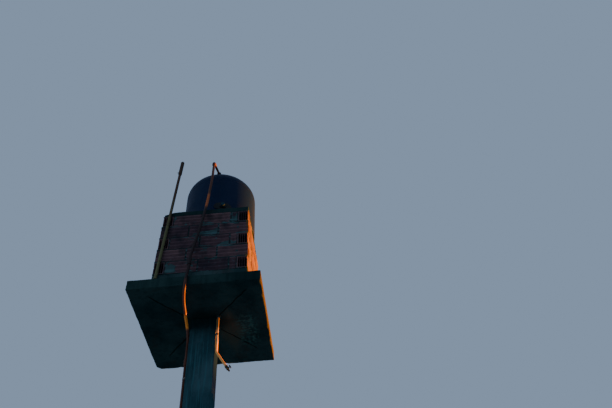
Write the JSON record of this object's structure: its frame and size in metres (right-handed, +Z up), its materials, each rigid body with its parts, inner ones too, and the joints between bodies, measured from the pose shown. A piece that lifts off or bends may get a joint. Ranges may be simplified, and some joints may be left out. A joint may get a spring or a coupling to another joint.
{
  "type": "water tower",
  "caption": "Small water tower: concrete column, square slab, hollow brick pedestal, domed plastic tank with riser, drain pipe and tied post.",
  "frame": {"origin": "middle of the column's foot at ground level", "axes": "+Z up, -Y towards the front with the riser pipe, +X towards the side with the drain and tap"},
  "size_m": [1.462, 1.5895, 8.0691],
  "materials": {
    "column_concrete": "weathered grey cast concrete",
    "slab_concrete": "stained grey cast concrete with board marks",
    "bed_mortar": "rough grey-green mortar",
    "brickwork": "dull red hollow clay bricks with grey mortar",
    "tank_plastic": "blue-black moulded plastic, dusty",
    "lid_plastic": "black moulded plastic",
    "fitting_grey": "pale grey moulded plastic",
    "pipe_brown": "red-brown plastic pipe, faded",
    "pipe_cream": "cream plastic pipe, yellowed and dusty",
    "strap_steel": "dull zinc with rust",
    "tap_brass": "tarnished brass",
    "tap_iron": "black painted cast iron",
    "post_steel": "old olive paint over rust",
    "sleeve_rust": "rusted steel",
    "tie_wire": "dark annealed wire"
  },
  "bodies": {
    "root": {"column": "column_concrete", "platform_slab": "slab_concrete", "pedestal_bed": "bed_mortar", "front_wall": "brickwork", "back_wall": "brickwork", "left_wall": "brickwork", "right_wall": "brickwork", "pedestal_cap": "bed_mortar", "tank_bottom": "tank_plastic", "tank_wall": "tank_plastic", "tank_dome": "tank_plastic", "tank_lid": "lid_plastic", "outlet_pad": "lid_plastic", "outlet_flange": "lid_plastic", "outlet_nipple": "fitting_grey", "outlet_plug": "fitting_grey", "foot_coupling": "pipe_brown", "riser_column": "pipe_brown", "column_coupling": "pipe_brown", "riser_bow": "pipe_brown", "front_coupling": "pipe_brown", "riser_front": "pipe_brown", "top_elbow": "pipe_brown", "inlet_pipe": "pipe_brown", "inlet_boss": "lid_plastic", "riser_straps": "strap_steel", "drain_pipe": "pipe_cream", "drain_collar": "bed_mortar", "drain_strap": "strap_steel", "tap_body": "tap_brass", "tap_handle": "tap_iron", "post": "post_steel", "post_sleeve": "sleeve_rust", "sleeve_bolt": "strap_steel", "post_ties": "tie_wire"}
  },
  "joints": []
}
